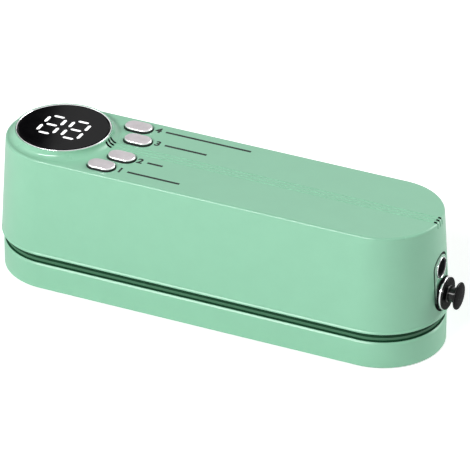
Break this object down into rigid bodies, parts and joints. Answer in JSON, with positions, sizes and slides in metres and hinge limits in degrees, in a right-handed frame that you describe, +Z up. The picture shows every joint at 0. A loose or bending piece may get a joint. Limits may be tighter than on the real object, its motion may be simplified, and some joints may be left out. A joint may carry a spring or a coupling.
{
  "type": "handheld vacuum sealer",
  "caption": "Stadium-shaped handheld bag sealer: hinged housing with round digital display, push buttons and plugged air port, over a low base with vacuum trough and seal strip.",
  "frame": {"origin": "on the underside of the base's grip pad, under the middle of the two round ends", "axes": "+X along the length to the end with the air port, -Y the side the bag goes in from, +Y the hinge side, +Z up"},
  "size_m": [0.2071, 0.055, 0.064],
  "materials": {
    "mint_plastic": "moulded ABS with a fine satin skin",
    "dark_rubber": "moulded black rubber",
    "grey_rubber": "moulded dark grey silicone",
    "silicone_red": "moulded heat-proof silicone",
    "bright_metal": "bright plated, satin face",
    "steel": "turned and stamped steel",
    "black_glass": "polished smoke-black window",
    "lit_white": "lit light bars",
    "board_green": "solder-masked circuit board",
    "black_plastic": "moulded black nylon",
    "heater_tan": "pressed phenolic bar",
    "cover_tan": "coated glass cloth tape",
    "cell_blue": "shrink sleeve over a steel can",
    "copper": "wound coil under varnish",
    "clear_hose": "milky silicone hose"
  },
  "bodies": {
    "base": {"base_shell": "mint_plastic", "grip_pad": "grey_rubber", "vacuum_tray": "mint_plastic", "lower_gasket": "dark_rubber", "press_strip": "silicone_red", "hinge_pin_left": "steel", "hinge_pin_right": "steel", "tray_screw_left": "steel", "tray_screw_right": "steel", "base_magnet_left": "steel", "base_magnet_right": "steel"},
    "housing": {"strike_plate_left": "steel", "strike_plate_right": "steel", "housing_shell": "mint_plastic", "jaw_plate": "mint_plastic", "upper_gasket": "dark_rubber", "ptfe_cover": "cover_tan", "heating_strip": "steel", "heater_bar": "heater_tan", "jaw_screw_1": "steel", "jaw_screw_2": "steel", "jaw_screw_3": "steel", "jaw_screw_4": "steel", "end_plate": "mint_plastic", "charge_jack": "black_plastic", "port_bush": "bright_metal", "display_bezel": "bright_metal", "display_lens": "black_glass", "digit_tens": "lit_white", "digit_units": "lit_white", "display_board": "board_green", "battery_cell_1": "cell_blue", "battery_cell_2": "cell_blue", "battery_holder": "black_plastic", "main_board": "board_green", "pump_motor": "steel", "motor_cradle": "black_plastic", "cylinder_block": "black_plastic", "valve_body": "copper", "chamber_elbow": "black_plastic", "chamber_hose": "clear_hose", "port_hose": "clear_hose", "tact_switch_1": "black_plastic", "tact_switch_2": "black_plastic", "tact_switch_3": "black_plastic", "tact_switch_4": "black_plastic"},
    "button_1": {"button_cap_1": "bright_metal", "tact_plunger_1": "black_plastic"},
    "button_2": {"button_cap_2": "bright_metal", "tact_plunger_2": "black_plastic"},
    "button_3": {"button_cap_3": "bright_metal", "tact_plunger_3": "black_plastic"},
    "button_4": {"button_cap_4": "bright_metal", "tact_plunger_4": "black_plastic"},
    "port_plug": {"port_plug": "dark_rubber"},
    "pump_crank": {"pump_crank": "steel"},
    "pump_piston": {"pump_piston": "grey_rubber"},
    "valve_plunger": {"valve_plunger": "steel"}
  },
  "joints": [
    {"name": "housing_hinge", "type": "hinge", "parent": "base", "child": "housing", "pos_m": [0, 0.0252, 0.0145], "axis": [-1, 0, 0], "range_deg": [0, 70]},
    {"name": "button_1_press", "type": "slide", "parent": "housing", "child": "button_1", "axis": [0, 0, -1], "range_m": [0, 0.0008], "stiffness_N_per_m": 600, "springref_m": -0.0005},
    {"name": "button_2_press", "type": "slide", "parent": "housing", "child": "button_2", "axis": [0, 0, -1], "range_m": [0, 0.0008], "stiffness_N_per_m": 600, "springref_m": -0.0005},
    {"name": "button_3_press", "type": "slide", "parent": "housing", "child": "button_3", "axis": [0, 0, -1], "range_m": [0, 0.0008], "stiffness_N_per_m": 600, "springref_m": -0.0005},
    {"name": "button_4_press", "type": "slide", "parent": "housing", "child": "button_4", "axis": [0, 0, -1], "range_m": [0, 0.0008], "stiffness_N_per_m": 600, "springref_m": -0.0005},
    {"name": "port_plug_pull", "type": "slide", "parent": "housing", "child": "port_plug", "axis": [1, 0, 0], "range_m": [0, 0.012]},
    {"name": "pump_crank_spin", "type": "hinge", "parent": "housing", "child": "pump_crank", "pos_m": [0.0633, 0, 0.0334], "axis": [1, 0, 0], "continuous": true},
    {"name": "pump_piston_stroke", "type": "slide", "parent": "housing", "child": "pump_piston", "axis": [0, 0, 1], "range_m": [-0.001, 0.001]},
    {"name": "valve_plunger_lift", "type": "slide", "parent": "housing", "child": "valve_plunger", "axis": [0, 0, -1], "range_m": [0, 0.001], "stiffness_N_per_m": 150, "springref_m": -0.0005}
  ]
}
